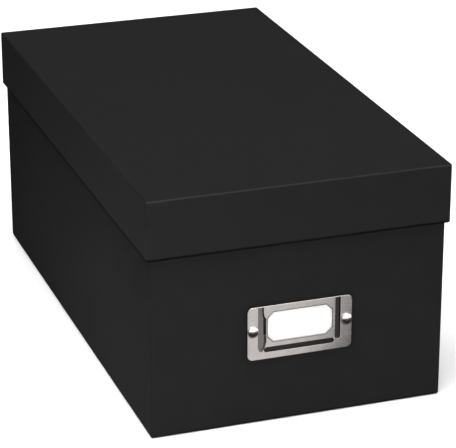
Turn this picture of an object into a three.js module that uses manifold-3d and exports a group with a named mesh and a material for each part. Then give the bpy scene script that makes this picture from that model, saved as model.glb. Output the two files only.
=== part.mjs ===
// A lidded archival storage box: greyboard panels, taped at the corners, wrapped in black paper and
// lined, with a deep lift-off lid and a riveted metal label holder on the front end.
//
// Millimetres. +X is across the box, +Y runs from the front end to the back, +Z is up.
// The origin is the middle of the underside.
import * as THREE from "three";
import { mergeVertices } from "three/addons/utils/BufferGeometryUtils.js";
import Module from "manifold-3d";

const wasm = await Module();
wasm.setup();

// ---- Driving dimensions ----

const LID_WIDTH = 203;
const LID_LENGTH = 366;
const BOX_HEIGHT = 162;
const LID_DEPTH = 40;

const BASE_BOARD = 2.0;
const LID_BOARD = 1.5;
const PAPER = 0.25;
const TAPE = 0.15;
const GLUE = 0.05;
const LID_FIT = 0.4; // play between the lid's lining and the base, on each side
const LID_SEAT = 0.15; // gap between the base's rim and the lid's ceiling

const BOARD_CORNER = 1.0; // radius of the boards' outer vertical corners
const UNDER_WRAP = GLUE + TAPE + GLUE; // room for the corner tape between board and wrap
const BASE_TURN_IN = 20; // wrap folded over the base's rim and down its inner side
const TURN_UNDER = 15; // wrap folded under the base
const LINING_BELOW_RIM = 9; // the wall lining stops this far under the base's rim
const SHEET_MARGIN = 3; // the underside's sheet stops this far from the base's edges
const TAPE_LEG = { base: 22, lid: 16 };
const TAPE_SHORT_OF_EDGE = 1.2;

const HOLDER = {
  width: 70.8,
  height: 36.5,
  corner: 3.6,
  sheet: 0.6,
  aboveFloor: 63.2, // height of the holder's centre
  window: { width: 43.6, height: 20.2, above: 3.4, chamfer: 4 },
  groove: { halfWidth: 1.9, depth: 1.4 },
  sideGroove: { fromEdge: 9.4, aboveBottom: 6.6 },
  lowerGroove: { fromEdge: 12.3, aboveBottom: 6 },
};
const RIVET = {
  headRadius: 3.7,
  headHeight: 2.8,
  shankRadius: 1.5,
  holeRadius: 1.7,
  fromEdge: 3.8,
  above: 2,
  tailRadius: 2.6,
  tailHeight: 0.9,
};
const WASHER = { radius: 4.2, thickness: 0.5 };
const CARD = { width: 46.4, height: 27.2, thickness: 0.3, behindSheet: 0.3, belowTop: 0.5 };

// ---- Sizes that follow from them ----

const lidHalf = { x: LID_WIDTH / 2, y: LID_LENGTH / 2 };
const overhang = PAPER + UNDER_WRAP + LID_BOARD + GLUE + PAPER + LID_FIT;
const baseHalf = inset(lidHalf, overhang);
const wrapCorner = BOARD_CORNER + UNDER_WRAP + PAPER;

const ceiling = BOX_HEIGHT - PAPER - GLUE - LID_BOARD - GLUE - PAPER;
const rimHeight = ceiling - LID_SEAT;
const lidRim = BOX_HEIGHT - LID_DEPTH;
const turnUnderZ = PAPER + GLUE;
const baseBoardZ = turnUnderZ + PAPER + GLUE;
const floorZ = baseBoardZ + BASE_BOARD;

// ---- Materials ----

const material = (color, roughness, metalness = 0) =>
  new THREE.MeshStandardMaterial({ color, roughness, metalness });
const wrapPaper = material(0x292929, 0.55);
const liningPaper = material(0xe4e0d6, 0.9);
const greyboard = material(0x9b958a, 0.95);
const kraftTape = material(0xb18f62, 0.85);
const nickelSteel = material(0xb9b1af, 0.32, 1);
const cardStock = material(0xf6f6f4, 0.8);

// ---- Outlines and solids ----

function inset(half, by) {
  return { x: half.x - by, y: half.y - by };
}

/** A rectangle, given by its half sizes, with rounded corners where radius isn't 0. */
function rectangle(half, radius = 0, Kind = THREE.Shape) {
  const { x, y } = half;
  const outline = new Kind();
  if (!radius) {
    return outline.moveTo(-x, -y).lineTo(x, -y).lineTo(x, y).lineTo(-x, y).closePath();
  }
  outline.absarc(x - radius, -y + radius, radius, -Math.PI / 2, 0);
  outline.absarc(x - radius, y - radius, radius, 0, Math.PI / 2);
  outline.absarc(-x + radius, y - radius, radius, Math.PI / 2, Math.PI);
  outline.absarc(-x + radius, -y + radius, radius, Math.PI, 1.5 * Math.PI);
  return outline.closePath();
}

/** A flat shape in the XY plane as a solid between two heights. */
function extrude(shape, low, high, curveSegments = 4) {
  const options = { depth: high - low, bevelEnabled: false, curveSegments };
  return new THREE.ExtrudeGeometry(shape, options).translate(0, 0, low);
}

/** A flat block between two corners. */
function block([x0, x1], [y0, y1], [z0, z1]) {
  const size = new THREE.BoxGeometry(x1 - x0, y1 - y0, z1 - z0);
  return size.translate((x0 + x1) / 2, (y0 + y1) / 2, (z0 + z1) / 2);
}

/** A flat slab centred on the origin, given by its half sizes and its two heights. */
const slabOf = (half, low, high) => block([-half.x, half.x], [-half.y, half.y], [low, high]);

/** A ring between two nested rectangles, from one height to another. */
function ring(outer, outerRadius, inner, innerRadius, low, high) {
  const shape = rectangle(outer, outerRadius);
  shape.holes.push(rectangle(inner, innerRadius, THREE.Path));
  return extrude(shape, low, high);
}

/** A closed geometry as a manifold-3d solid. */
function toSolid(geometry) {
  const bare = geometry.clone();
  bare.deleteAttribute("normal");
  bare.deleteAttribute("uv");
  const merged = mergeVertices(bare, 1e-4);
  const vertProperties = merged.attributes.position.array;
  const triVerts = new Uint32Array(merged.index.array);
  return new wasm.Manifold(new wasm.Mesh({ numProp: 3, vertProperties, triVerts }));
}

/** A manifold-3d solid as a geometry. */
function toGeometry(solid) {
  const { vertProperties, triVerts } = solid.getMesh();
  const geometry = new THREE.BufferGeometry();
  geometry.setAttribute("position", new THREE.BufferAttribute(vertProperties, 3));
  geometry.setIndex(new THREE.BufferAttribute(triVerts, 1));
  geometry.computeVertexNormals();
  return geometry;
}

const join = (...geometries) =>
  toGeometry(geometries.map(toSolid).reduce((whole, next) => whole.add(next)));
const cut = (geometry, ...tools) =>
  toGeometry(tools.map(toSolid).reduce((left, tool) => left.subtract(tool), toSolid(geometry)));
const trim = (geometry, within) => toGeometry(toSolid(geometry).intersect(toSolid(within)));

function piece(parent, name, geometry, itsMaterial) {
  const mesh = new THREE.Mesh(geometry, itsMaterial);
  mesh.name = name;
  parent.add(mesh);
  return mesh;
}

// ---- Where the rivets go through the front end ----

const rivetPlaces = [-1, 1].map((side) => ({
  side: side < 0 ? "left" : "right",
  x: side * (HOLDER.width / 2 - RIVET.fromEdge),
  z: RIVET.above,
}));

/** The bores that the rivets pass through, from well outside the front end to well inside it. */
function rivetBores() {
  return rivetPlaces.map(({ x, z }) =>
    new THREE.CylinderGeometry(RIVET.holeRadius, RIVET.holeRadius, 30, 20).translate(
      x,
      -baseHalf.y,
      HOLDER.aboveFloor + z,
    ),
  );
}

// ---- Board panels, shared by the base and the lid ----

const ENDS = [["front", -1], ["back", 1]];
const SIDES = [["left", -1], ["right", 1]];

/** The span from one distance to a greater one, on the side that sign says. */
const span = (sign, near, far) => (sign < 0 ? [-far, -near] : [near, far]);

/** Four wall panels: the end panels run full width, and the side panels stand between them. */
function wallBoards(parent, prefix, suffix, half, thickness, [low, high]) {
  const inner = inset(half, thickness);
  const stack = extrude(rectangle(half, BOARD_CORNER), low, high);
  for (const [end, sign] of ENDS) {
    const slab = block([-half.x, half.x], span(sign, inner.y, half.y), [low, high]);
    piece(parent, `${prefix}_${end}_${suffix}`, trim(stack, slab), greyboard);
  }
  for (const [side, sign] of SIDES) {
    const panel = block(span(sign, inner.x, half.x), [GLUE - inner.y, inner.y - GLUE], [low, high]);
    piece(parent, `${prefix}_${side}_${suffix}`, panel, greyboard);
  }
}

/** An angle of gummed tape round each vertical corner, between the boards and the wrap. */
function cornerTapes(parent, prefix, half, leg, [boardLow, boardHigh]) {
  const [low, high] = [boardLow + TAPE_SHORT_OF_EDGE, boardHigh - TAPE_SHORT_OF_EDGE];
  const outer = inset(half, -GLUE - TAPE);
  const outerRadius = BOARD_CORNER + GLUE + TAPE;
  const band = ring(outer, outerRadius, inset(outer, TAPE), outerRadius - TAPE, low, high);
  for (const [end, ySign] of ENDS) {
    for (const [side, xSign] of SIDES) {
      const across = span(xSign, half.x - leg, outer.x);
      const along = span(ySign, half.y - leg, outer.y);
      const angle = trim(band, block(across, along, [low, high]));
      piece(parent, `${prefix}_tape_${end}_${side}`, angle, kraftTape);
    }
  }
}

// ---- The base ----

function buildBase() {
  const base = new THREE.Group();
  const boardHalf = inset(baseHalf, PAPER + UNDER_WRAP);
  const boardInner = inset(boardHalf, BASE_BOARD);
  const boardTop = rimHeight - PAPER - GLUE;

  piece(base, "base_floor_board", slabOf(inset(boardInner, GLUE), baseBoardZ, floorZ), greyboard);
  wallBoards(base, "base", "board", boardHalf, BASE_BOARD, [baseBoardZ, boardTop]);
  const front = base.getObjectByName("base_front_board");
  front.geometry = cut(front.geometry, ...rivetBores());
  cornerTapes(base, "base", boardHalf, TAPE_LEG.base, [baseBoardZ, boardTop]);

  // The wrap covers the walls, turns in over the rim and turns under the base.
  const skinInner = inset(baseHalf, PAPER);
  const turnInOuter = inset(boardInner, GLUE);
  const turnInInner = inset(turnInOuter, PAPER);
  const wrap = join(
    ring(baseHalf, wrapCorner, skinInner, wrapCorner - PAPER, turnUnderZ, rimHeight),
    ring(baseHalf, wrapCorner, turnInInner, 0, rimHeight - PAPER, rimHeight),
    ring(turnInOuter, 0, turnInInner, 0, rimHeight - BASE_TURN_IN, rimHeight),
    ring(baseHalf, wrapCorner, inset(baseHalf, TURN_UNDER), 0, turnUnderZ, turnUnderZ + PAPER),
  );
  piece(base, "base_wrap", cut(wrap, ...rivetBores()), wrapPaper);

  piece(base, "base_underside_sheet", slabOf(inset(baseHalf, SHEET_MARGIN), 0, PAPER), wrapPaper);

  // The wall lining covers the lower edge of the turned-in wrap; the floor lining lies inside it.
  const liningOuter = inset(turnInInner, GLUE);
  const liningInner = inset(liningOuter, PAPER);
  const liningLow = floorZ + GLUE;
  const lining = ring(liningOuter, 0, liningInner, 0, liningLow, rimHeight - LINING_BELOW_RIM);
  piece(base, "base_wall_lining", cut(lining, ...rivetBores()), liningPaper);
  const floorLining = slabOf(inset(liningInner, GLUE), liningLow, liningLow + PAPER);
  piece(base, "base_floor_lining", floorLining, liningPaper);

  base.add(buildLabelHolder(-liningInner.y));
  return base;
}

// ---- The label holder, riveted to the front end ----

/**
 * The form that presses a round-bottomed groove: a capsule along Z, centred on the plane y = 0.
 * Grown by the sheet's thickness, it is the back of the groove.
 */
function grooveForm(length, grow) {
  const halfWidth = HOLDER.groove.halfWidth + grow;
  const depth = HOLDER.groove.depth + grow;
  const straight = length / 2 - HOLDER.groove.halfWidth;
  const profile = new THREE.Path();
  profile.absarc(0, -straight, halfWidth, -Math.PI / 2, 0);
  profile.absarc(0, straight, halfWidth, 0, Math.PI / 2);
  const capsule = new THREE.LatheGeometry(profile.getPoints(5), 20);
  return capsule.rotateX(Math.PI / 2).scale(1, depth / halfWidth, 1);
}

/** The flat sheet of the holder, with its window and its rivet holes. */
function holderSheet() {
  const { width, height, corner, sheet, window: hole } = HOLDER;
  const outline = rectangle({ x: width / 2, y: height / 2 }, corner);
  const side = { x: hole.width / 2, y: hole.height / 2 - hole.chamfer };
  const end = { x: hole.width / 2 - hole.chamfer, y: hole.height / 2 };
  const octagon = [[1, 1], [-1, 1], [-1, -1], [1, -1]].flatMap(([signX, signY]) => {
    const pair = [side, end].map(({ x, y }) => new THREE.Vector2(signX * x, signY * y + hole.above));
    return signX * signY > 0 ? pair : pair.reverse();
  });
  outline.holes.push(new THREE.Path().setFromPoints(octagon).closePath());
  for (const { x, z } of rivetPlaces) {
    outline.holes.push(new THREE.Path().absarc(x, z, RIVET.holeRadius, 0, 2 * Math.PI));
  }
  // Stood up in the XZ plane, with its front face at y = 0 and its back at y = sheet.
  return extrude(outline, -sheet, 0, 5).rotateX(Math.PI / 2);
}

/** The pressed grooves: two that guide the card, open at the top edge, and one that it stands on. */
function grooves(grow) {
  const { width, height, sideGroove, lowerGroove } = HOLDER;
  const sideX = width / 2 - sideGroove.fromEdge;
  const overTop = 10; // the side grooves run out through the top edge
  const sideLength = height - sideGroove.aboveBottom + overTop;
  const sideMiddle = (sideGroove.aboveBottom + height + overTop) / 2 - height / 2;
  const lowerLength = width - 2 * lowerGroove.fromEdge;
  const lowerZ = lowerGroove.aboveBottom - height / 2;
  return [
    grooveForm(sideLength, grow).translate(-sideX, 0, sideMiddle),
    grooveForm(sideLength, grow).translate(sideX, 0, sideMiddle),
    grooveForm(lowerLength, grow).rotateY(Math.PI / 2).translate(0, 0, lowerZ),
  ];
}

/** The pressed plate, with its front face at y = 0 and the backs of its grooves behind it. */
function holderPlate() {
  const { width, height, sheet, groove } = HOLDER;
  const behind = [0, groove.depth + sheet];
  const envelope = block([-width / 2, width / 2], behind, [-height / 2, height / 2]);
  const backs = grooves(sheet).map((form) => trim(form, envelope));
  return cut(join(holderSheet(), ...backs), ...grooves(0));
}

/** A rivet along +Y, with its domed head on y = 0 and its rolled tail on y = grip. */
function rivet(grip) {
  const { headRadius, headHeight, shankRadius, tailRadius, tailHeight } = RIVET;
  const dome = (headRadius ** 2 + headHeight ** 2) / (2 * headHeight);
  const sweep = Math.asin(headRadius / dome);
  const roll = tailHeight / 2;
  const profile = new THREE.Path();
  profile.absarc(0, dome - headHeight, dome, -Math.PI / 2, sweep - Math.PI / 2);
  profile.lineTo(shankRadius, 0);
  profile.lineTo(shankRadius, grip);
  profile.lineTo(tailRadius - roll, grip);
  profile.absarc(tailRadius - roll, grip + roll, roll, -Math.PI / 2, Math.PI / 2);
  profile.lineTo(0, grip + tailHeight);
  return new THREE.LatheGeometry(profile.getPoints(6), 24);
}

/** A flat washer from y = 0 to y = thickness. */
function washer() {
  const outline = new THREE.Shape().absarc(0, 0, WASHER.radius, 0, 2 * Math.PI);
  outline.holes.push(new THREE.Path().absarc(0, 0, RIVET.holeRadius, 0, 2 * Math.PI));
  return extrude(outline, -WASHER.thickness, 0, 12).rotateX(Math.PI / 2);
}

/** The holder, its card and its rivets. liningY is the inner face of the front end's lining. */
function buildLabelHolder(liningY) {
  const holder = new THREE.Group();
  holder.position.set(0, -baseHalf.y, HOLDER.aboveFloor);
  const plateFace = -(GLUE + HOLDER.groove.depth + HOLDER.sheet);
  piece(holder, "label_holder_plate", holderPlate(), nickelSteel).position.y = plateFace;

  const washerY = liningY + baseHalf.y + GLUE;
  const tailY = washerY + WASHER.thickness + GLUE;
  const headY = plateFace - GLUE;
  for (const { side, x, z } of rivetPlaces) {
    piece(holder, `rivet_${side}`, rivet(tailY - headY), nickelSteel).position.set(x, headY, z);
    piece(holder, `rivet_washer_${side}`, washer(), nickelSteel).position.set(x, washerY, z);
  }

  const cardFront = plateFace + HOLDER.sheet + CARD.behindSheet;
  const cardTop = HOLDER.height / 2 - CARD.belowTop;
  const across = [-CARD.width / 2, CARD.width / 2];
  const through = [cardFront, cardFront + CARD.thickness];
  piece(holder, "label_card", block(across, through, [cardTop - CARD.height, cardTop]), cardStock);
  return holder;
}

// ---- The lid ----

function buildLid() {
  const lid = new THREE.Group();
  const boardHalf = inset(lidHalf, PAPER + UNDER_WRAP);
  const boardInner = inset(boardHalf, LID_BOARD);
  const boardLow = lidRim + PAPER + GLUE;
  const boardTop = BOX_HEIGHT - PAPER - GLUE;

  const topHalf = inset(boardInner, GLUE);
  piece(lid, "lid_top_board", slabOf(topHalf, boardTop - LID_BOARD, boardTop), greyboard);
  wallBoards(lid, "lid", "rim_board", boardHalf, LID_BOARD, [boardLow, boardTop]);
  cornerTapes(lid, "lid", boardHalf, TAPE_LEG.lid, [boardLow, boardTop]);

  // One wrap covers the top and the rims, and turns in round their lower edges and up to the ceiling.
  const turnInOuter = inset(boardInner, GLUE);
  const turnInInner = inset(turnInOuter, PAPER);
  const wrap = join(
    extrude(rectangle(lidHalf, wrapCorner), BOX_HEIGHT - PAPER, BOX_HEIGHT),
    ring(lidHalf, wrapCorner, inset(lidHalf, PAPER), wrapCorner - PAPER, lidRim, BOX_HEIGHT),
    ring(lidHalf, wrapCorner, turnInInner, 0, lidRim, lidRim + PAPER),
    ring(turnInOuter, 0, turnInInner, 0, lidRim, ceiling - GLUE),
  );
  piece(lid, "lid_wrap", wrap, wrapPaper);
  piece(lid, "lid_lining", slabOf(topHalf, ceiling, ceiling + PAPER), liningPaper);
  return lid;
}

const archivalBox = new THREE.Group();
archivalBox.add(buildBase(), buildLid());

export default archivalBox;
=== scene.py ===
"""A lidded archival storage box: boards wrapped in black paper, a lift-off lid and a riveted label holder.

Metres throughout, in the CAD model's frame: +X is across the box, +Y runs from the label end to the back,
and +Z is up, with the origin in the middle of the underside.
"""

import math

import bmesh
import bpy
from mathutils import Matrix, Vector, noise
from mathutils.geometry import delaunay_2d_cdt


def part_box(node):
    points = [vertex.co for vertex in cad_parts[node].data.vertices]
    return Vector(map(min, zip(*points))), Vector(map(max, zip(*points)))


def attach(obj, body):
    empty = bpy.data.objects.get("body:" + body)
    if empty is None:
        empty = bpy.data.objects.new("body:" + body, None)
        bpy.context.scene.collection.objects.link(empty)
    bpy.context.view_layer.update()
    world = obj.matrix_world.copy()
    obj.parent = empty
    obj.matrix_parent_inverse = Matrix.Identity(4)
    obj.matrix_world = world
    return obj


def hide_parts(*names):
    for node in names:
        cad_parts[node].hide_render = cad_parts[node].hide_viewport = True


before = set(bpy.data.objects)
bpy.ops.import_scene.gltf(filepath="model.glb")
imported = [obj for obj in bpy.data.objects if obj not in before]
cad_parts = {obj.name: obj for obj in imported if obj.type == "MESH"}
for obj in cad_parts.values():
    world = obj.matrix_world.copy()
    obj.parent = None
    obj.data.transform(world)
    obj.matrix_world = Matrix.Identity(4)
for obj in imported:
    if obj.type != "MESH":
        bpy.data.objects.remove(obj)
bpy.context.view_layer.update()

MM = 0.001


# ---- Measures, from the frame where it has them ----


def size_of(node):
    """The sides of a CAD node's box."""
    low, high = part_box(node)
    return high - low


def middle_of(node):
    """The middle of a CAD node's box."""
    low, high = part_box(node)
    return (low + high) / 2


PAPER = size_of("base_underside_sheet").z
GLUE = 0.05 * MM  # gap between glued layers
# From the wrap's inner face to the board, and the whole walls with the wrap on both sides.
UNDER_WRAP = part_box("base_left_board")[0].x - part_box("base_wrap")[0].x - PAPER
BASE_WALL = UNDER_WRAP + size_of("base_left_board").x + 2 * PAPER + GLUE
LID_WALL = UNDER_WRAP + size_of("lid_left_rim_board").x + 2 * PAPER + GLUE

CORNER = 1.1 * MM  # radius of the wrapped upright corners
LINING_CORNER = 1.2 * MM
TOP_ROUND = 1.25 * MM  # radius of a wrapped outer edge
INNER_ROUND = 0.7 * MM  # radius of a wrapped inner edge
BOARD_EASE = 0.35 * MM  # how far a board's cut edges are crushed
STEP = 0.2 * MM  # how far a second layer of paper stands up
STATION = 9 * MM  # spacing of the points along a wall
SHEET_SPACING = 12 * MM  # and of those of a flat sheet
ARC_STEPS = 6  # straight stretches round a quarter circle
WELD = 0.002 * MM  # points closer than this are one
SHARP_ABOVE = math.radians(40)  # edges that turn further than this are shaded sharp
FOLD_ABOVE = math.radians(60)  # and further than this they are a board's cut edges
FLAT_BELOW = math.radians(1)  # faces that meet at less than this are one

BASE_TURN_IN = 20 * MM
TURN_UNDER = 15 * MM
# Second layers of paper, as their start and end from the corner at the start of a side.
BASE_LAP = (0.4 * MM, 12 * MM)  # where the base's wrap meets itself
LINING_LAP = (0.5 * MM, 10 * MM)
LID_EAR = (0.45 * MM, 14 * MM)  # the ears of the lid's wrap, under its end flaps
EAR_FADE = (0.3 * MM, 2 * MM)  # how far below the lid's top the ears begin to show, and show fully
WALL_BULGE = 0.3 * MM  # of the base's long sides
RIM_DROOP = 0.15 * MM  # how far the middles of the lid's rims lean in
LID_CROWN = 0.25 * MM
RUBBED = 0.4  # wear of a fold that hands rub, out of 1
FULL_SHADE = -1.0  # painted shade at its darkest, on the wear scale: the shadowed line along the lid's lower edge and the base's foot
CORNER_SHADE = -0.3  # painted shade on the upright corners' rounding, on the wear scale
RIM_SHADE = 1.6 * MM  # height of the painted shade line along the lid's lower edge
FOOT_SHADE = 1.2 * MM  # and of the painted shadow along the base's foot
RIVET_HOLE = 1.7 * MM
BORE = 30 * MM  # length of the cutter for the rivets' holes, more than enough for the front end


# ---- Materials ----


class Shader:
    """A Principled material that is built up one node at a time."""

    def __init__(self, name, roughness, metallic=0.0, specular=0.5):
        self.material = bpy.data.materials.new(name)
        self.material.use_nodes = True
        self.tree = self.material.node_tree
        self.surface = self.tree.nodes["Principled BSDF"]
        self.surface.inputs["Roughness"].default_value = roughness
        self.surface.inputs["Metallic"].default_value = metallic
        self.surface.inputs["Specular IOR Level"].default_value = specular
        self.place = self.tree.nodes.new("ShaderNodeTexCoord").outputs["Object"]

    def node(self, kind, links=None, **values):
        """A node with its properties set, and its inputs linked or set."""
        made = self.tree.nodes.new(kind)
        for name, value in values.items():
            setattr(made, name, value)
        for name, source in (links or {}).items():
            if isinstance(source, bpy.types.NodeSocket):
                self.tree.links.new(source, made.inputs[name])
            else:
                made.inputs[name].default_value = source
        return made

    def stretched(self, scale):
        """Object coordinates, scaled along each axis."""
        return self.node("ShaderNodeMapping", {"Vector": self.place, "Scale": scale}).outputs[0]

    def noise(self, size, detail=4.0, roughness=0.5, scale=(1, 1, 1)):
        """Noise from 0 to 1, whose features are about size metres across."""
        links = {
            "Vector": self.stretched(scale),
            "Scale": 1 / size,
            "Detail": detail,
            "Roughness": roughness,
        }
        return self.node("ShaderNodeTexNoise", links).outputs["Fac"]

    def remap(self, value, low, high, to_low=0.0, to_high=1.0):
        """value from low to high, clamped, as to_low to to_high."""
        links = {
            "Value": value,
            "From Min": low,
            "From Max": high,
            "To Min": to_low,
            "To Max": to_high,
        }
        return self.node("ShaderNodeMapRange", links).outputs["Result"]

    def math(self, operation, first, second):
        links = {0: first, 1: second}
        return self.node("ShaderNodeMath", links, operation=operation).outputs[0]

    def ramp(self, value, *stops):
        """A colour ramp through (position, colour) stops."""
        made = self.node("ShaderNodeValToRGB", {"Fac": value})
        elements = made.color_ramp.elements
        while len(elements) < len(stops):
            elements.new(0.5)
        for element, (position, colour) in zip(elements, stops):
            element.position = position
            element.color = (*colour, 1.0)
        return made.outputs["Color"]

    def mix(self, factor, first, second):
        """first where factor is 0, and second where it is 1. Each is a socket or a colour."""
        made = self.node("ShaderNodeMix", data_type="RGBA")
        # By number, because the sockets for numbers, vectors and colours have the same names.
        sockets = (made.inputs[0], made.inputs[6], made.inputs[7])
        for socket, source in zip(sockets, (factor, first, second)):
            if isinstance(source, bpy.types.NodeSocket):
                self.tree.links.new(source, socket)
            else:
                socket.default_value = (*source, 1.0) if isinstance(source, tuple) else source
        return made.outputs[2]

    def attribute(self, name):
        """A number that the mesh has at each point."""
        return self.node("ShaderNodeAttribute", attribute_name=name).outputs["Fac"]

    def colour(self, socket):
        self.tree.links.new(socket, self.surface.inputs["Base Color"])

    def roughness(self, socket):
        self.tree.links.new(socket, self.surface.inputs["Roughness"])

    def bump(self, *layers):
        """Bump from (height from 0 to 1, depth in metres) layers, each on top of the last."""
        normal = None
        for height, depth in layers:
            links = {"Height": height, "Distance": depth, "Strength": 1.0}
            if normal:
                links["Normal"] = normal
            normal = self.node("ShaderNodeBump", links).outputs["Normal"]
        self.tree.links.new(normal, self.surface.inputs["Normal"])


def grey(value, warmth=0.0):
    """A grey whose red is raised, and whose blue is lowered, by the fraction warmth."""
    return (value * (1 + warmth), value, value * (1 - warmth))


def black_paper():
    """Smooth black covering paper, rubbed paler on some folds, and darkened by painted shade along the lid's
    lower edge, the base's foot and the upright corners.
    """
    shader = Shader("black_paper", roughness=0.42, specular=0.12)
    fibres = shader.noise(0.5 * MM, detail=5.0, roughness=0.6, scale=(1, 0.45, 1))
    mottle = shader.noise(14 * MM, detail=3.0)
    board = shader.noise(45 * MM, detail=1.0)
    mixed = shader.math("ADD", shader.math("MULTIPLY", fibres, 0.4), shader.math("MULTIPLY", mottle, 0.6))
    body = shader.ramp(mixed, (0.3, grey(0.0098)), (0.7, grey(0.0124, 0.01)))
    wear = shader.attribute("wear")
    patchy = shader.remap(mottle, 0.25, 0.75, 0.35, 1.0)
    rubbing = shader.math("MULTIPLY", shader.remap(wear, 0.0, 1.0), patchy)
    rubbed = shader.mix(rubbing, body, grey(0.024, 0.01))
    # Painted shade: below 0 the attribute darkens the paper towards near black.
    shader.colour(shader.mix(shader.remap(wear, 0.0, -1.0), rubbed, grey(0.003)))
    shader.roughness(shader.remap(fibres, 0.2, 0.8, 0.38, 0.46))
    shader.bump((board, 0.12 * MM), (mottle, 0.02 * MM), (fibres, 0.012 * MM))
    return shader.material


def lining_paper():
    """Matt off-white lining paper with a few darker fibres."""
    shader = Shader("lining_paper", roughness=0.88, specular=0.2)
    fibres = shader.noise(0.9 * MM, detail=6.0, roughness=0.65, scale=(1, 0.3, 1))
    clouds = shader.noise(22 * MM, detail=3.0)
    flecks = shader.remap(fibres, 0.66, 0.74)
    body = shader.ramp(clouds, (0.25, (0.72, 0.685, 0.61)), (0.75, (0.76, 0.73, 0.655)))
    shader.colour(shader.mix(shader.math("MULTIPLY", flecks, 0.45), body, (0.42, 0.36, 0.27)))
    shader.bump((clouds, 0.04 * MM), (fibres, 0.03 * MM))
    return shader.material


def greyboard():
    """Raw board of pressed waste paper: grey, mottled and flecked."""
    shader = Shader("greyboard", roughness=0.93, specular=0.2)
    pulp = shader.noise(1.4 * MM, detail=7.0, roughness=0.7)
    layers = shader.noise(0.35 * MM, detail=3.0, scale=(0.15, 0.15, 1))
    flecks = shader.remap(shader.noise(0.8 * MM, detail=2.0, scale=(1, 0.5, 1)), 0.68, 0.72)
    body = shader.ramp(pulp, (0.25, (0.22, 0.195, 0.165)), (0.75, (0.40, 0.365, 0.32)))
    shader.colour(shader.mix(shader.math("MULTIPLY", flecks, 0.6), body, (0.12, 0.11, 0.10)))
    shader.bump((pulp, 0.06 * MM), (layers, 0.05 * MM))
    return shader.material


def kraft_tape():
    """Brown gummed tape with long fibres."""
    shader = Shader("kraft_tape", roughness=0.7, specular=0.35)
    fibres = shader.noise(0.7 * MM, detail=5.0, roughness=0.6, scale=(1, 1, 0.2))
    body = shader.ramp(fibres, (0.25, (0.34, 0.20, 0.09)), (0.75, (0.50, 0.33, 0.17)))
    shader.colour(body)
    shader.bump((fibres, 0.03 * MM))
    return shader.material


def nickel(name, smoothest, roughest):
    """Nickel plate: finely scratched and cloudy, with painted shade in its grooves, round its window and
    below its rivets, where it is also a little rougher.
    """
    shader = Shader(name, roughness=smoothest, metallic=1.0)
    clouds = shader.noise(7 * MM, detail=3.0)
    scratches = shader.noise(0.25 * MM, detail=3.0, scale=(0.06, 1, 1))
    pressed = shader.attribute("pressed")
    flat = shader.ramp(clouds, (0.3, (0.58, 0.535, 0.52)), (0.7, (0.66, 0.62, 0.605)))
    # Painted shade: towards near black where the attribute is high.
    shader.colour(shader.mix(pressed, flat, (0.045, 0.043, 0.042)))
    scratches_and_shade = shader.remap(scratches, 0.3, 0.7, smoothest, roughest)
    shader.roughness(shader.math("ADD", scratches_and_shade, shader.math("MULTIPLY", pressed, 0.12)))
    shader.bump((clouds, 0.01 * MM), (scratches, 0.0025 * MM))
    return shader.material


def white_card():
    """Smooth white card, faintly toothed."""
    shader = Shader("white_card", roughness=0.65, specular=0.35)
    tooth = shader.noise(0.35 * MM, detail=4.0)
    tone = shader.noise(9 * MM, detail=2.0)
    shader.colour(shader.ramp(tone, (0.3, (0.77, 0.77, 0.76)), (0.7, (0.80, 0.80, 0.79))))
    shader.bump((tooth, 0.01 * MM))
    return shader.material


BLACK_PAPER = black_paper()
LINING_PAPER = lining_paper()
GREYBOARD = greyboard()
KRAFT_TAPE = kraft_tape()
NICKEL = nickel("satin_nickel", 0.24, 0.36)
BRIGHT_NICKEL = nickel("bright_nickel", 0.24, 0.32)
WHITE_CARD = white_card()


# ---- Making a piece ----


def finish_mesh(obj):
    """Applies obj's modifiers, then shades it smooth except across sharp edges."""
    graph = bpy.context.evaluated_depsgraph_get()
    made = bpy.data.meshes.new_from_object(obj.evaluated_get(graph))
    obj.modifiers.clear()
    obj.data = made
    made.shade_smooth()
    made.set_sharp_from_angle(angle=SHARP_ABOVE)
    weighted = obj.modifiers.new("flat_faces_stay_flat", "WEIGHTED_NORMAL")
    weighted.keep_sharp = True


def add_piece(name, mesh, body, material, stands_for=(), thickness=0.0):
    """A new piece on a CAD body. A thickness turns an open skin into a sheet, grown inwards."""
    mesh.name = name
    mesh.materials.clear()
    mesh.materials.append(material)
    obj = bpy.data.objects.new(name, mesh)
    bpy.context.scene.collection.objects.link(obj)
    if thickness:
        sheet = obj.modifiers.new("sheet", "SOLIDIFY")
        sheet.thickness = thickness
        sheet.offset = -1.0
    finish_mesh(obj)
    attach(obj, body)
    if stands_for:
        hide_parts(*stands_for)
    return obj


def mesh_of(bm):
    """A mesh from bm, with the points that coincide made one."""
    bmesh.ops.remove_doubles(bm, verts=bm.verts, dist=WELD)
    mesh = bpy.data.meshes.new("mesh")
    bm.to_mesh(mesh)
    bm.free()
    return mesh


def bridge(bm, loop, next_loop, closed=True):
    """Quads between two loops of the same length."""
    count = len(loop)
    for i in range(count if closed else count - 1):
        j = (i + 1) % count
        bm.faces.new((loop[i], loop[j], next_loop[j], next_loop[i]))


def lay_grid(bm, count_x, count_y, corner, place):
    """A skin through place(u, v), where u and v run from -1 to 1. Its corners are rounded by corner."""
    grid = {}
    for i in range(count_x + 1):
        for j in range(count_y + 1):
            grid[i, j] = bm.verts.new(place(2 * i / count_x - 1, 2 * j / count_y - 1))
    for i in range(count_x):
        for j in range(count_y):
            bm.faces.new((grid[i, j], grid[i + 1, j], grid[i + 1, j + 1], grid[i, j + 1]))
    corners = [grid[i, j] for i in (0, count_x) for j in (0, count_y)]
    bmesh.ops.bevel(bm, geom=corners, offset=corner, segments=4, affect="VERTICES", profile=0.5)


# ---- Wrapped walls: a profile carried round a rounded rectangle ----

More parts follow.
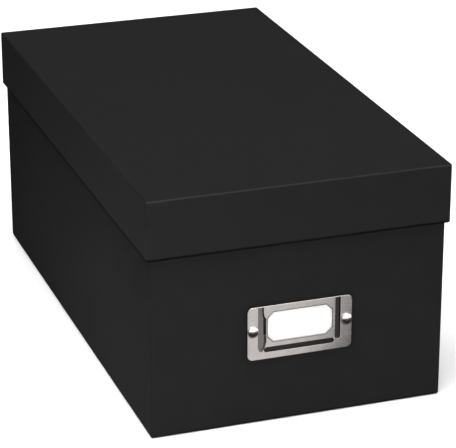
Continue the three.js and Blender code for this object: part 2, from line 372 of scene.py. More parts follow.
# Each side's outward normal and direction of travel, anticlockwise from above.
SIDES = {
    "front": (Vector((0, -1)), Vector((1, 0))),
    "right": (Vector((1, 0)), Vector((0, 1))),
    "back": (Vector((0, 1)), Vector((-1, 0))),
    "left": (Vector((-1, 0)), Vector((0, -1))),
}


class Walls:
    """Four walls round a rectangle. A place along a side is metres from the end of the corner before it."""

    def __init__(self, half, corner, seams, bulges):
        self.half = half
        self.corner = corner
        self.seams = seams
        self.bulges = bulges

    def length(self, side):
        """The length of a side between its corners."""
        along = SIDES[side][1]
        return 2 * (abs(along.x) * self.half.x + abs(along.y) * self.half.y - self.corner)

    def stations(self, side):
        """Fractions of the side where it has points: evenly, and at the edges of seams here and opposite."""
        length = self.length(side)
        opposite = {"front": "back", "back": "front", "left": "right", "right": "left"}[side]
        count = round(length / STATION)
        places = {length * i / count for i in range(count + 1)}
        for seam in self.seams.get(side, ()):
            places.update(seam.edges)
        for seam in self.seams.get(opposite, ()):
            places.update(length - edge for edge in seam.edges)
        return [place / length for place in sorted(places)]

    def loop(self, inset, z, layer=1.0, swell=0.0):
        """(point, painted corner shade) all round at one height. layer scales the seams, and swell the
        bulges.
        """
        points = []
        radius = max(self.corner - inset, 0.0)
        pulled = max(self.corner, inset)
        for side, (normal, along) in SIDES.items():
            reach = abs(along.x) * self.half.x + abs(along.y) * self.half.y - pulled
            depth = abs(normal.x) * self.half.x + abs(normal.y) * self.half.y
            bulge = swell * self.bulges.get(side, 0.0)
            for part in self.stations(side):
                place = part * self.length(side)
                raised = sum(seam.height(place) for seam in self.seams.get(side, ()))
                out = layer * raised + bulge * math.sin(math.pi * part)
                flat = along * reach * (2 * part - 1) + normal * (depth - inset + out)
                points.append((Vector((*flat, z)), 0.0))
            centre = along * reach + normal * (depth - pulled)
            for i in range(1, ARC_STEPS):
                angle = math.pi / 2 * i / ARC_STEPS
                flat = centre + (normal * math.cos(angle) + along * math.sin(angle)) * radius
                # Painted shade on each upright corner, darkest in the middle of its rounding.
                points.append((Vector((*flat, z)), CORNER_SHADE * math.sin(2 * angle)))
        return points


class Seam:
    """A second layer of paper along a side, from start to end, crisp at one edge and soft at the other."""

    CRISP = 0.04 * MM
    SOFT = 1.2 * MM

    def __init__(self, start, end, crisp_start, crisp_end):
        ramps = [self.CRISP if crisp else self.SOFT for crisp in (crisp_start, crisp_end)]
        self.rise = (start, start + ramps[0])
        self.fall = (end - ramps[1], end)
        self.edges = [*self.rise, *self.fall]

    def height(self, place):
        """How far the layer stands up at a place along the side."""
        up = smooth(place, *self.rise)
        down = smooth(place, *self.fall)
        return STEP * (up - down)


def smooth(value, low, high):
    """0 below low, 1 above high, and a smooth rise between them."""
    part = min(max((value - low) / (high - low), 0.0), 1.0)
    return part * part * (3 - 2 * part)


def quarter(centre_inset, centre_z, radius, start):
    """Profile points (inset, z) round a quarter circle, from an angle in quarter turns, anticlockwise."""
    points = []
    for i in range(ARC_STEPS + 1):
        angle = math.pi / 2 * (start + i / ARC_STEPS)
        points.append((centre_inset + radius * math.cos(angle), centre_z + radius * math.sin(angle)))
    return points


def rim_profile(wall, inner_end, rim):
    """The wrap's path from inner_end, up the inner side, over a rim and on to its outer side."""
    inner = quarter(wall - INNER_ROUND, rim - INNER_ROUND, INNER_ROUND, 0)
    outer = quarter(TOP_ROUND, rim - TOP_ROUND, TOP_ROUND, 1)
    return [(wall, inner_end), *inner, *outer]


def near(z, edge):
    """1 at the height of an edge, down to 0 at the end of its rounding."""
    return 1 - smooth(abs(z - edge), 0, TOP_ROUND)


def raise_walls(bm, walls, profile, layer, swell, wear):
    """A skin along profile, whose points are (inset, z). layer, swell and wear are functions of those; the
    last gives wear above 0 and painted shade below it.
    """
    wear_and_shade_layer = bm.verts.layers.float.new("wear")
    loops = []
    for place in profile:
        loop = []
        for point, corner_shade in walls.loop(*place, layer(*place), swell(*place)):
            vert = bm.verts.new(point)
            # The profile's wear or painted shade, or else the corner's painted shade.
            vert[wear_and_shade_layer] = wear(*place) or corner_shade
            loop.append(vert)
        loops.append(loop)
    for loop, next_loop in zip(loops, loops[1:]):
        bridge(bm, loop, next_loop)


def bore(obj):
    """Cuts the holes that the rivets' shanks pass through."""
    for side in ("left", "right"):
        centre = middle_of(f"rivet_{side}")
        cutter_bm = bmesh.new()
        bmesh.ops.create_cone(
            cutter_bm,
            cap_ends=True,
            segments=32,
            radius1=RIVET_HOLE,
            radius2=RIVET_HOLE,
            depth=BORE,
        )
        for vert in cutter_bm.verts:
            vert.co = Vector((vert.co.x, vert.co.z, -vert.co.y)) + centre
        cutter_mesh = bpy.data.meshes.new("cutter")
        cutter_bm.to_mesh(cutter_mesh)
        cutter_bm.free()
        cutter = bpy.data.objects.new("cutter", cutter_mesh)
        bpy.context.scene.collection.objects.link(cutter)
        hole = obj.modifiers.new("hole", "BOOLEAN")
        hole.object = cutter
        finish_mesh(obj)
        bpy.data.objects.remove(cutter)


# ---- The base ----


def wrap_base():
    """The base's wrap: a strip round the walls, lapped at the back, and turned in and turned under."""
    low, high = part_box("base_wrap")
    lap = Seam(*BASE_LAP, crisp_start=False, crisp_end=True)
    bulges = {"left": WALL_BULGE, "right": WALL_BULGE}
    walls = Walls(Vector((high.x, high.y)), CORNER, {"back": [lap]}, bulges)
    profile = rim_profile(BASE_WALL, high.z - BASE_TURN_IN, high.z)
    parts_of_height = (0.96, 0.9, 0.8, 0.65, 0.5, 0.35, 0.2, 0.08, 0.015)
    profile += [(0.0, low.z + part * (high.z - low.z)) for part in parts_of_height]
    profile += quarter(TOP_ROUND, low.z + TOP_ROUND, TOP_ROUND, 2)
    profile.append((TURN_UNDER, low.z))

    def layer(inset, z):
        return 1.0 if inset < TOP_ROUND else 0.0

    def swell(inset, z):
        # Fullest a little below half the height, and none in the top sixth, which the lid hides.
        part = (z - low.z) / (high.z - low.z)
        return math.sin(math.pi * min(part * 1.2, 1.0)) if inset == 0 else 0.0

    def wear(inset, z):
        # Painted shadow along the foot, and rubbing wear along the top edge.
        return FULL_SHADE if z < low.z + FOOT_SHADE else RUBBED * near(z, high.z)

    bm = bmesh.new()
    raise_walls(bm, walls, profile, layer, swell, wear)
    obj = add_piece("base_wrap_paper", mesh_of(bm), "base", BLACK_PAPER, ["base_wrap"], PAPER)
    bore(obj)


def sheet_mesh(low, high, corner, lift=0.0):
    """A thin flat sheet with rounded corners, whose edges lift unevenly, by about lift at most."""
    half = Vector((high.x - low.x, high.y - low.y)) / 2
    centre = Vector(((low.x + high.x) / 2, (low.y + high.y) / 2, low.z))
    curled = 1.5 * SHEET_SPACING
    waves_per_metre = 40

    def place(u, v):
        x, y = half.x * u, half.y * v
        to_edge = min(half.x - abs(x), half.y - abs(y))
        wave = 0.5 + noise.noise(Vector((x, y, 0)) * waves_per_metre)
        curl = lift * (1 - smooth(to_edge, 0, curled)) * wave
        return centre + Vector((x, y, max(curl, 0.0)))

    bm = bmesh.new()
    lay_grid(bm, round(2 * half.x / SHEET_SPACING), round(2 * half.y / SHEET_SPACING), corner, place)
    bmesh.ops.solidify(bm, geom=bm.faces[:], thickness=-(high.z - low.z))
    # That leaves points and faces in an order that varies from run to run: sort them by z, then y, then x.
    rank = Vector((1, 1e3, 1e6))
    bm.verts.sort(key=lambda vert: vert.co.dot(rank))
    bm.faces.sort(key=lambda face: face.calc_center_median().dot(rank))
    return mesh_of(bm)


def cover_underside():
    """The sheet that hides the wrap's turned-under edges."""
    low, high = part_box("base_underside_sheet")
    sheet = sheet_mesh(low, high, corner=2 * MM)
    add_piece("base_underside_paper", sheet, "base", BLACK_PAPER, ["base_underside_sheet"])


def line_floor():
    """The floor's lining, whose edges lift a little."""
    low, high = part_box("base_floor_lining")
    sheet = sheet_mesh(low, high, corner=1 * MM, lift=0.5 * MM)
    add_piece("base_floor_paper", sheet, "base", LINING_PAPER, ["base_floor_lining"])


def line_walls():
    """The lining round the inside of the walls. Its lap stands inwards, so its layer is -1."""
    low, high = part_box("base_wall_lining")
    half = Vector((high.x, high.y))
    lap = Seam(*LINING_LAP, crisp_start=False, crisp_end=True)
    walls = Walls(half - Vector((PAPER, PAPER)), LINING_CORNER - PAPER, {"left": [lap]}, {})
    profile = [(0.0, low.z + part * (high.z - low.z)) for part in (0, 0.25, 0.5, 0.75, 1)]
    bm = bmesh.new()
    raise_walls(bm, walls, profile, lambda inset, z: -1.0, lambda inset, z: 0.0, lambda inset, z: 0.0)
    bmesh.ops.reverse_faces(bm, faces=bm.faces)
    lining = mesh_of(bm)
    nodes = ["base_wall_lining"]
    bore(add_piece("base_wall_paper", lining, "base", LINING_PAPER, nodes, PAPER))


# ---- The lid ----


def wrap_lid():
    """The lid's wrap: one sheet over the top, with ears folded round the corners under its end flaps."""
    low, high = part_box("lid_wrap")
    half = Vector((high.x, high.y))
    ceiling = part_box("lid_lining")[0].z
    length = 2 * (half.x - CORNER)
    start, end = LID_EAR
    first = Seam(start, end, crisp_start=True, crisp_end=False)
    last = Seam(length - end, length - start, crisp_start=False, crisp_end=True)
    seams = {"front": [first, last], "back": [first, last]}
    walls = Walls(half, CORNER, seams, {side: -RIM_DROOP for side in SIDES})
    # The lid's edge is at the bottom, so its rim is made the other way up and mirrored.
    rim = rim_profile(LID_WALL, 2 * low.z - ceiling + GLUE, low.z)
    profile = [(inset, 2 * low.z - z) for inset, z in rim]
    # Two levels close together, because the painted shade along the lower edge ends between them.
    profile += [(0.0, low.z + RIM_SHADE), (0.0, low.z + 1.3 * RIM_SHADE)]
    profile += [(0.0, low.z + part * (high.z - low.z)) for part in (0.1, 0.3, 0.5, 0.7, 0.9)]
    profile += reversed(quarter(TOP_ROUND, high.z - TOP_ROUND, TOP_ROUND, 1))
    profile.append((max(CORNER, TOP_ROUND), high.z))

    def layer(inset, z):
        below_top = smooth(high.z - z, *EAR_FADE)
        return below_top if inset < TOP_ROUND else 0.0

    def swell(inset, z):
        return 1.0 - (z - low.z) / (high.z - low.z) if inset == 0 else 0.0

    def wear(inset, z):
        # Painted shade along the rim's lower edge.
        if inset <= TOP_ROUND and z < low.z + 1.2 * RIM_SHADE:
            return FULL_SHADE
        return 0.0

    bm = bmesh.new()
    raise_walls(bm, walls, profile, layer, swell, wear)
    cover_top(bm, walls, high.z)
    mesh = mesh_of(bm)
    add_piece("lid_wrap_paper", mesh, "lid", BLACK_PAPER, ["lid_wrap"], PAPER)


def cover_top(bm, walls, z):
    """The flat of the lid, from edge to edge, crowned by a fraction of a millimetre."""
    reach = walls.half - Vector((walls.corner, walls.corner))
    across = [reach.x * (2 * part - 1) for part in walls.stations("front")]
    along = [reach.y * (2 * part - 1) for part in walls.stations("right")]
    grid = []
    for y in along:
        row = []
        for x in across:
            crown = (1 - (x / reach.x) ** 2) * (1 - (y / reach.y) ** 2)
            row.append(bm.verts.new((x, y, z + LID_CROWN * crown)))
        grid.append(row)
    for row, next_row in zip(grid, grid[1:]):
        bridge(bm, row, next_row, closed=False)


def line_lid():
    """The lining on the inside of the lid's top."""
    low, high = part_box("lid_lining")
    sheet = sheet_mesh(low, high, corner=1 * MM)
    add_piece("lid_ceiling_paper", sheet, "lid", LINING_PAPER, ["lid_lining"])


# ---- Boards and tapes ----


def ease_boards():
    """Each board again, with its die-cut edges slightly crushed."""
    for name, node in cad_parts.items():
        if not name.endswith("_board"):
            continue
        bm = bmesh.new()
        bm.from_mesh(node.data)
        bmesh.ops.remove_doubles(bm, verts=bm.verts, dist=WELD)
        bmesh.ops.dissolve_limit(bm, angle_limit=FLAT_BELOW, verts=bm.verts, edges=bm.edges)
        bmesh.ops.bevel(
            bm,
            geom=[edge for edge in bm.edges if edge.calc_face_angle(0) > FOLD_ABOVE],
            offset=BOARD_EASE,
            segments=2,
            affect="EDGES",
            profile=0.5,
            clamp_overlap=True,
        )
        body = "lid" if name.startswith("lid") else "base"
        add_piece(f"{name}_cut", mesh_of(bm), body, GREYBOARD, [name])


def paint_tapes():
    """The tapes are flat strips round a corner, so they keep their CAD shape."""
    for name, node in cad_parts.items():
        if "_tape_" in name:
            node.data.materials.clear()
            node.data.materials.append(KRAFT_TAPE)


# ---- The label holder ----

PLATE_CORNER = 3.6 * MM
SHEET = 0.6 * MM  # thickness of the metal
PRESS_DEPTH = 1.4 * MM
EDGE_ROLL = 0.3 * MM  # how far in from a cut edge the face is rolled over
WINDOW_ROLL = 0.8 * MM  # and from the window's edge
WINDOW_SHADE = 0.7  # painted shade on that roll: a shadow line round the window
ROLL_DEPTH = 0.25 * MM  # how far back a roll ends
ROLL_STEPS = 4
HOLE_POINTS = 24
WINDOW = Vector((43.6, 20.2)) * MM
WINDOW_ABOVE_MIDDLE = 3.4 * MM
WINDOW_CHAMFER = 4.0 * MM
WINDOW_CORNER = 0.15 * MM
FINE = 0.2 * MM  # spacing of the plate's points in and beside its grooves and rivets
COARSE = 4  # fine steps from point to point elsewhere
BESIDE_GROOVE = 0.5  # in millimetres, as the grooves are
BESIDE_RIVET = 5 * MM
CLEAR_OF_ROLL = 1.3  # widths of the roll between a cut edge and the nearest point that isn't its own
SAME_POINT = 1e-7  # metres
RIVET_SHADE = (3.8 * MM, 4.9 * MM)  # from a rivet's centre: where its painted shadow begins to fade, and ends


def straight_groove(start, end, half_width, wall, shade, steps=8):
    """A straight groove's outline: (x, z, width of the wall there, painted shade on the wall), in
    millimetres.
    """
    along = (end - start).normalized()
    outline = []
    for centre, ahead in ((end, along), (start, -along)):
        side = Vector((-ahead.y, ahead.x))
        for i in range(steps + 1):
            angle = math.pi * i / steps
            point = centre + (side * math.cos(angle) + ahead * math.sin(angle)) * half_width
            outline.append((point.x, point.y, wall, shade))
    return outline


def bend(start, pull, end, steps=4):
    """An outline's points along a curve from start to end, which is drawn towards pull."""
    points = []
    for i in range(steps + 1):
        part = i / steps
        rest = 1 - part
        blend = [rest**2 * a + 2 * rest * part * b + part**2 * c for a, b, c in zip(start, pull, end)]
        points.append(tuple(blend))
    return points


# The grooves, in millimetres from the plate's lower left corner. Both side grooves run out over the top
# edge. The left one's wall leans out towards the narrow web beside the window, and below the window it
# opens into a shallower slope with less painted shade, and a round foot.
FOOT = (9.5, 5.1, 0.7, 0.9)  # the left groove's lowest point, in both bends but kept once
LEFT_GROOVE = [
    (7.0, 45.0, 0.4, 0.9),
    (10.9, 45.0, 0.5, 1.0),
    (10.9, 32.0, 0.5, 1.0),
    (11.4, 29.6, 0.8, 1.0),
    (12.7, 27.6, 2.0, 1.0),
    (13.0, 22.0, 2.3, 1.0),
    (12.9, 17.2, 2.1, 1.0),
    (12.7, 16.4, 1.6, 0.25),
    *bend((12.6, 11.5, 1.5, 0.25), (11.6, 6.3, 1.2, 0.2), FOOT),
    *bend(FOOT, (7.2, 5.1, 0.33, 0.9), (7.0, 10.0, 0.4, 0.9))[1:],
]
# The painted shade of each groove's floor, and its outline.
GROOVES = [
    (0.7, LEFT_GROOVE),
    (0.95, straight_groove(Vector((61.1, 8.6)), Vector((61.1, 45.0)), 1.75, 0.4, 1.0)),
    (1.0, straight_groove(Vector((12.9, 6.3)), Vector((56.9, 6.3)), 1.8, 0.4, 1.0)),
]


def rounded_polygon(corners, radius, steps=6):
    """Points round a convex polygon, anticlockwise, with each corner an arc."""
    points = []
    for i, corner in enumerate(corners):
        back = (corners[i - 1] - corner).normalized()
        ahead = (corners[(i + 1) % len(corners)] - corner).normalized()
        half_angle = math.acos(max(-1.0, min(1.0, back.dot(ahead)))) / 2
        centre = corner + (back + ahead).normalized() * (radius / math.sin(half_angle))
        first = corner + back * (radius / math.tan(half_angle)) - centre
        sweep = math.pi - 2 * half_angle
        for step in range(steps + 1):
            turn = sweep * step / steps
            x = first.x * math.cos(turn) - first.y * math.sin(turn)
            y = first.x * math.sin(turn) + first.y * math.cos(turn)
            points.append(centre + Vector((x, y)))
    return points


def window_corners(margin):
    """The window's eight corners, moved out by margin."""
    half = WINDOW / 2 + Vector((margin, margin))
    cut = WINDOW_CHAMFER + margin * (2 - math.sqrt(2))
    above = Vector((0, WINDOW_ABOVE_MIDDLE))
    quadrant = [Vector((half.x, half.y - cut)), Vector((half.x - cut, half.y))]
    corners = []
    for sign_x, sign_y in ((1, 1), (-1, 1), (-1, -1), (1, -1)):
        pair = [Vector((sign_x * corner.x, sign_y * corner.y)) for corner in quadrant]
        corners += pair if sign_x * sign_y > 0 else pair[::-1]
    return [corner + above for corner in corners]


def plate_outlines(half, rivets, part):
    """The plate's outline, its window and its rivet holes, moved part of the roll's width into the metal."""
    corners = [Vector((x, z)) for x, z in ((1, 1), (-1, 1), (-1, -1), (1, -1))]
    margin = part * EDGE_ROLL
    outer_half = half - Vector((margin, margin))
    outer = [Vector((corner.x * outer_half.x, corner.y * outer_half.y)) for corner in corners]
    outlines = [rounded_polygon(outer, PLATE_CORNER - margin)]
    window = window_corners(part * WINDOW_ROLL)
    outlines.append(rounded_polygon(window, WINDOW_CORNER, steps=3))
    for centre in rivets:
        ring = []
        for i in range(HOLE_POINTS):
            angle = 2 * math.pi * i / HOLE_POINTS
            ring.append(centre + Vector((math.cos(angle), math.sin(angle))) * (RIVET_HOLE + margin))
        outlines.append(ring)
    return outlines


def inside(x, z, outline):
    """True if the point is inside a closed outline, whose own points begin with x and z."""
    hit = False
    for start, end in zip(outline, outline[1:] + outline[:1]):
        if (start[1] > z) != (end[1] > z):
            crossing = start[0] + (z - start[1]) / (end[1] - start[1]) * (end[0] - start[0])
            hit ^= x < crossing
    return hit


def pressing(x, z):
    """(depth, painted shade) of the face at x and z, in millimetres from the plate's lower left corner."""
    depth, shade = 0.0, 0.0
    for floor_shade, outline in GROOVES:
        if not inside(x, z, outline):
            continue
        up, wall_shade = 1.0, 0.0
        for start, end in zip(outline, outline[1:] + outline[:1]):
            run_x, run_z = end[0] - start[0], end[1] - start[1]
            part = ((x - start[0]) * run_x + (z - start[1]) * run_z) / (run_x**2 + run_z**2)
            part = max(0.0, min(1.0, part))
            away = math.hypot(x - start[0] - part * run_x, z - start[1] - part * run_z)
            climbed = away / (start[2] + part * (end[2] - start[2]))
            if climbed < up:
                up = climbed
                wall_shade = start[3] + part * (end[3] - start[3])
        depth = max(depth, smooth(up, 0, 1))
        on_floor = smooth(up, 0.75, 1)
        # Painted shade: the wall's value with a dark line along the lip, blending to the floor's value.
        line = 1 - smooth(up, 0.1, 0.3)
        wall = max(wall_shade, line)
        shade = max(shade, wall + (floor_shade - wall) * on_floor)
    return depth * PRESS_DEPTH, shade


def rivet_shade(away):
    """Painted shadow on the plate round the lower edge of a rivet's head. away is measured from its centre.
    """
    if away.length == 0:
        return 0.0
    below = max(0.0, -away.y / away.length)
    return below * (1 - smooth(away.length, *RIVET_SHADE))


def beside_groove(x, z):
    """True in and just outside the boxes round the grooves, in millimetres from the lower left corner."""
    for _, outline in GROOVES:
        xs = [corner[0] for corner in outline]
        zs = [corner[1] for corner in outline]
        across = min(xs) - BESIDE_GROOVE < x < max(xs) + BESIDE_GROOVE
        if across and min(zs) - BESIDE_GROOVE < z < max(zs) + BESIDE_GROOVE:
            return True
    return False


def within(point, outlines):
    """True if the point is inside the first outline and outside the others."""
    return inside(*point, outlines[0]) and not any(inside(*point, hole) for hole in outlines[1:])


def roll_edges(half, rivets):
    """Rings of points over the rolls, the first and last rings' edges, and points' (set back, painted
    shade).
    """
    points, edges, marks = [], [], []
    for i in range(ROLL_STEPS + 1):
        angle = math.pi / 2 * i / ROLL_STEPS
        set_back = ROLL_DEPTH * (1 - math.sin(angle))
        plate, window, *holes = plate_outlines(half, rivets, 1 - math.cos(angle))
        # Painted shade on the window's roll, but not on its last ring.
        window_shade = WINDOW_SHADE if i < ROLL_STEPS else 0.0
        for outline, shade in ((plate, 0.0), (window, window_shade), *((hole, 0.0) for hole in holes)):
            first, count = len(points), len(outline)
            points += outline
            marks += [(set_back, shade)] * count
            if i in (0, ROLL_STEPS):
                edges += [(first + j, first + (j + 1) % count) for j in range(count)]
    return points, edges, marks


def plate_flat(half, rivets):
    """A triangulated flat plate: its points, its triangles, and each point's (set back, painted shade)."""
    points, edges, marks = roll_edges(half, rivets)
    cut = plate_outlines(half, rivets, 0.0)
    clear = plate_outlines(half, rivets, CLEAR_OF_ROLL)
    for i in range(1, round(2 * half.x / FINE)):
        for j in range(1, round(2 * half.y / FINE)):
            x, z = i * FINE, j * FINE
            point = Vector((x, z)) - half
            if i % COARSE or j % COARSE:
                beside_rivet = any((point - rivet).length < BESIDE_RIVET for rivet in rivets)
                if not beside_rivet and not beside_groove(x / MM, z / MM):
                    continue
            if within(point, clear):
                points.append(point)
                marks.append((0.0, 0.0))
    flat, _, faces, originals, _, _ = delaunay_2d_cdt(points, edges, [], 0, SAME_POINT)
    rolled = [max((marks[k] for k in source), default=(0.0, 0.0)) for source in originals]
    kept = []
    for face in faces:
        centre = sum((flat[k] for k in face), Vector((0, 0))) / len(face)
        if within(centre, cut):
            kept.append(face)
    return flat, kept, rolled


def press_plate():
    """The label holder's plate: a flat blank, pressed to shape and given its thickness."""
    low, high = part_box("label_holder_plate")
    half = Vector((high.x - low.x, high.z - low.z)) / 2
    centre = Vector(((low.x + high.x) / 2, low.y, (low.z + high.z) / 2))
    rivets = []
    for side in ("left", "right"):
        place = middle_of(f"rivet_{side}") - centre
        rivets.append(Vector((place.x, place.z)))
    flat, faces, rolled = plate_flat(half, rivets)
    bm = bmesh.new()
    pressed = bm.verts.layers.float.new("pressed")
    front, back = [], []
    for point, (roll, scratches_and_shade) in zip(flat, rolled):
        depth, shade = pressing(*((point + half) / MM))
        # Painted shadow below each rivet's head.
        shade = max(shade, *(rivet_shade(point - rivet) for rivet in rivets))
        for side, offset in ((front, roll), (back, SHEET - roll)):
            vert = bm.verts.new(centre + Vector((point.x, depth + offset, point.y)))
            # Painted shade from the grooves, the rivets' shadows and the window's roll.
            vert[pressed] = max(shade, scratches_and_shade)
            side.append(vert)
    sides = set()
    for face in faces:
        bm.faces.new([front[k] for k in face])
        bm.faces.new([back[k] for k in reversed(face)])
        sides.update(zip(face, face[1:] + face[:1]))
    for start, end in sides:
        if (end, start) not in sides:
            bm.faces.new((front[end], front[start], back[start], back[end]))
    bmesh.ops.delete(bm, geom=[vert for vert in bm.verts if not vert.link_faces], context="VERTS")
    bmesh.ops.recalc_face_normals(bm, faces=bm.faces)
    mesh = mesh_of(bm)
    add_piece("label_holder_pressing", mesh, "base", NICKEL, ["label_holder_plate"])


def turned(name, profile, centre, stands_for, segments=64):
    """A piece turned about a line along Y.

    Its profile is (radius, distance behind centre) points, from axis to axis or back to the first point.
    """
    bm = bmesh.new()
    pressed = bm.verts.layers.float.new("pressed")
    loops = []
    for radius, behind in profile:
        count = segments if radius > 0 else 1
        loop = []
        for i in range(count):
            angle = 2 * math.pi * i / segments
            place = Vector((radius * math.cos(angle), behind, radius * math.sin(angle)))
            loop.append(bm.verts.new(centre + place))
            loop[-1][pressed] = 0.0
        loops.append(loop * segments if radius == 0 else loop)
    for loop, next_loop in zip(loops, loops[1:]):
        for i in range(segments):
            j = (i + 1) % segments
            corners = [loop[i], loop[j], next_loop[j], next_loop[i]]
            bm.faces.new(list(dict.fromkeys(corners)))
    bmesh.ops.recalc_face_normals(bm, faces=bm.faces)
    add_piece(name, mesh_of(bm), "base", BRIGHT_NICKEL, [stands_for])


def arc(centre_r, centre_y, radius, start, end, steps):
    """(radius, distance) points round an arc. Angles are in degrees from +r towards +y."""
    points = []
    for i in range(steps + 1):
        angle = math.radians(start + (end - start) * i / steps)
        points.append((centre_r + radius * math.cos(angle), centre_y + radius * math.sin(angle)))
    return points


SHANK_RADIUS = 1.5 * MM
TAIL_RADIUS = 2.6 * MM
TAIL_HEIGHT = 0.9 * MM
HEAD_LIP = 0.25 * MM  # thickness of the head at its edge
HEAD_EASE = 0.06 * MM  # chamfer under that edge
HEAD_STEPS = 14
TAIL_HOLLOW = ((1.0, 0.7), (0.5, 0.35), (0.0, 0.3))  # parts of the shank's radius and the tail's height
WASHER_FILLET = 0.12 * MM


def set_rivet(side):
    """A rivet with an elliptical domed head and a rolled, hollow tail."""
    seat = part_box("label_holder_plate")[0].y - GLUE
    low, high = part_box(f"rivet_{side}")
    head_height = seat - low.y
    head_radius = (high.x - low.x) / 2
    grip = high.y - TAIL_HEIGHT - seat
    roll = TAIL_HEIGHT / 2
    dome = head_height - HEAD_LIP
    profile = [(0.0, -head_height)]
    for i in range(1, HEAD_STEPS + 1):
        angle = math.pi / 2 * i / HEAD_STEPS
        profile.append((head_radius * math.sin(angle), -HEAD_LIP - dome * math.cos(angle)))
    profile += [(head_radius, -HEAD_EASE), (head_radius - HEAD_EASE, 0.0)]
    profile += [(SHANK_RADIUS, 0.0), (SHANK_RADIUS, grip)]
    profile += arc(TAIL_RADIUS - roll, grip + roll, roll, -90, 90, steps=8)
    profile += [(out * SHANK_RADIUS, grip + up * TAIL_HEIGHT) for out, up in TAIL_HOLLOW]
    centre = middle_of(f"rivet_{side}")
    turned(f"domed_rivet_{side}", profile, Vector((centre.x, seat, centre.z)), f"rivet_{side}")


def set_washer(side):
    """The washer that a rivet's tail closes on, with eased edges."""
    low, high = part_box(f"rivet_washer_{side}")
    outer = (high.x - low.x) / 2
    thick = high.y - low.y
    ease = WASHER_FILLET
    section = [(RIVET_HOLE, 0.0)]
    section += arc(outer - ease, ease, ease, -90, 0, steps=3)
    section += arc(outer - ease, thick - ease, ease, 0, 90, steps=3)
    section += [(RIVET_HOLE + ease, thick), (RIVET_HOLE, thick - ease), (RIVET_HOLE, 0.0)]
    centre = middle_of(f"rivet_{side}")
    turned(f"washer_{side}", section, Vector((centre.x, low.y, centre.z)), f"rivet_washer_{side}")


def slip_card():
    """The card behind the window, bowed by a tenth of a millimetre."""
    low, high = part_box("label_card")
    half = Vector((high.x - low.x, high.z - low.z)) / 2
    centre = (low + high) / 2
    deepest = 0.1 * MM

    def place(u, v):
        x, z = half.x * u, half.y * v
        bow = deepest * (1 - (x / half.x) ** 2)
        return (centre.x + x, low.y - bow, centre.z + z)

    bm = bmesh.new()
    lay_grid(bm, count_x=24, count_y=14, corner=0.8 * MM, place=place)
    card = mesh_of(bm)
    add_piece("blank_label_card", card, "card", WHITE_CARD, ["label_card"], high.y - low.y)


# ---- The studio ----

PLATE = "label_holder_pressing"
RIVETS = ["domed_rivet_left", "domed_rivet_right"]
LID = "lid_wrap_paper"
FLOOR_RADIUS = 1.15
FLOOR_DROP = 0.2 * MM  # keeps the floor clear of the box's underside
FLOOR_TONE = 0.86
DIM_ROOM = 0.0155


def area_light(name, place, aim, size, power):
    """A rectangular lamp at place that points at aim. The camera doesn't see it."""
    lamp = bpy.data.lights.new(name, "AREA")
    lamp.shape = "RECTANGLE"
    lamp.size, lamp.size_y = size
    lamp.energy = power
    obj = bpy.data.objects.new(name, lamp)
    obj.location = place
    obj.rotation_euler = (Vector(aim) - Vector(place)).to_track_quat("-Z", "Y").to_euler()
    obj.visible_camera = False
    bpy.context.scene.collection.objects.link(obj)
    return obj


def light_only(lamp, names):
    """Lets a lamp light nothing but the objects of these names."""
    lit = bpy.data.collections.new(f"lit_by_{lamp.name}")
    for name in names:
        lit.objects.link(bpy.data.objects[name])
    lamp.light_linking.receiver_collection = lit


def lay_floor():
    """A round pale floor. Reflections don't show it, but the dim room instead."""
    bm = bmesh.new()
    bmesh.ops.create_circle(bm, cap_ends=True, segments=96, radius=FLOOR_RADIUS)
    mesh = bpy.data.meshes.new("floor")
    bm.to_mesh(mesh)
    bm.free()
    floor = bpy.data.objects.new("floor", mesh)
    floor.location.z = -FLOOR_DROP
    bpy.context.scene.collection.objects.link(floor)
    shader = Shader("pale_floor", roughness=1.0, specular=0.0)
    shader.surface.inputs["Base Color"].default_value = (*grey(FLOOR_TONE), 1)
    mesh.materials.append(shader.material)
    floor.visible_glossy = False


def light_world():
    """The camera sees a white surround. Everything else is lit by a dim room."""
    world = bpy.data.worlds.new("room")
    bpy.context.scene.world = world
    world.use_nodes = True
    tree = world.node_tree
    dim = tree.nodes["Background"]
    dim.inputs["Color"].default_value = (1, 1, 1, 1)
    dim.inputs["Strength"].default_value = DIM_ROOM
    white = tree.nodes.new("ShaderNodeBackground")
    white.inputs["Color"].default_value = (1, 1, 1, 1)
    white.inputs["Strength"].default_value = 1.0
    path = tree.nodes.new("ShaderNodeLightPath")
    mix = tree.nodes.new("ShaderNodeMixShader")
    tree.links.new(path.outputs["Is Camera Ray"], mix.inputs["Fac"])
    tree.links.new(dim.outputs[0], mix.inputs[1])
    tree.links.new(white.outputs[0], mix.inputs[2])
    tree.links.new(mix.outputs[0], tree.nodes["World Output"].inputs["Surface"])


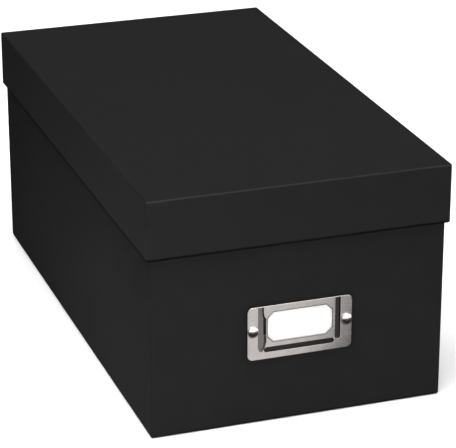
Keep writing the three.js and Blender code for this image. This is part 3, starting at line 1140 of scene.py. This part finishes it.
def light_studio():
    """Two lamps that light the object and are reflected by it, and lamps that do only one of the two."""
    lay_floor()
    light_world()
    area_light("key", (-0.3, -0.5, 1.6), (-0.1, -0.1, 0.1), (0.8, 0.8), 29.5)
    area_light("right_fill", (2.0, -0.5, 1.2), (0.0, 0.0, 0.1), (1.5, 1.5), 27.4)
    # These light the walls and aren't reflected: one behind, one near the left corner, one in front, and
    # strips on the floor.
    for name, place, aim, size, power in (
        ("back_fill", (0.5, 2.0, 1.3), (0.0, 0.0, 0.08), (1.5, 1.0), 49.1),
        ("near_corner", (-0.45, -0.35, 0.15), (-0.05, -0.1, 0.05), (0.2, 0.2), 0.83),
        ("left_skirt", (-0.25, -0.14, 0.01), (-0.1, -0.14, 0.04), (0.2, 0.02), 0.195),
        ("left_strip", (-0.24, 0.0, 0.008), (-0.1, 0.0, 0.02), (0.34, 0.015), 0.23),
        ("front_fill", (0.0, -2.2, 0.6), (0.0, 0.0, 0.08), (1.2, 0.8), 6.0),
        ("front_foot", (-0.05, -0.34, 0.008), (-0.05, -0.18, 0.03), (0.36, 0.012), 0.108),
    ):
        area_light(name, place, aim, size, power).visible_glossy = False
    # These are only reflected: a bright wall in front, a white wall at each side for the rivets, and pale
    # floor for the label holder, which is turned a little by the slight tilt of its aim.
    for name, place, aim, size, power, receivers in (
        ("sky_front", (0.0, -1.6, 1.15), (0.0, -0.18, 0.06), (3.0, 2.8), 60, []),
        ("sky_left", (-1.7, -0.8, 1.1), (0.0, -0.18, 0.06), (2.2, 2.2), 50, RIVETS),
        ("sky_right", (1.7, -0.8, 1.1), (0.0, -0.18, 0.06), (2.2, 2.2), 50, RIVETS),
        ("floor_glow", (-0.02, -0.44, 0.001), (-0.03, -0.423, 1.0), (0.3, 0.38), 0.305, [PLATE]),
    ):
        lamp = area_light(name, place, aim, size, power)
        lamp.visible_diffuse = False
        if receivers:
            light_only(lamp, receivers)
    # These aren't reflected, and each lights one thing: the floor, or the lid.
    for name, place, aim, size, power, receiver in (
        ("floor_wash", (-0.7, 0.05, 1.2), (-0.3, 0.0, 0.0), (0.8, 0.8), 4.5, "floor"),
        ("low_left", (-0.6, -0.35, 0.04), (-0.1, -0.1, 0.02), (0.3, 0.06), 1.77, LID),
    ):
        lamp = area_light(name, place, aim, size, power)
        lamp.visible_glossy = False
        light_only(lamp, [receiver])


def set_camera():
    """A long lens, from the front left and above."""
    azimuth = math.radians(-19.07)
    elevation = math.radians(22.08)
    distance = 1.587
    aim = Vector((11.2 * MM, -10 * MM, 66.7 * MM))
    back = Vector((
        math.sin(azimuth) * math.cos(elevation),
        -math.cos(azimuth) * math.cos(elevation),
        math.sin(elevation),
    ))
    data = bpy.data.cameras.new("camera")
    data.lens = 178.5
    data.sensor_width = 36
    camera = bpy.data.objects.new("camera", data)
    camera.location = aim + back * distance
    camera.rotation_euler = (-back).to_track_quat("-Z", "Y").to_euler()
    bpy.context.scene.collection.objects.link(camera)
    bpy.context.scene.camera = camera
    bpy.context.scene.view_settings.view_transform = "Standard"


set_camera()
wrap_base()
cover_underside()
line_floor()
line_walls()
wrap_lid()
line_lid()
ease_boards()
paint_tapes()
press_plate()
for side in ("left", "right"):
    set_rivet(side)
    set_washer(side)
slip_card()
light_studio()
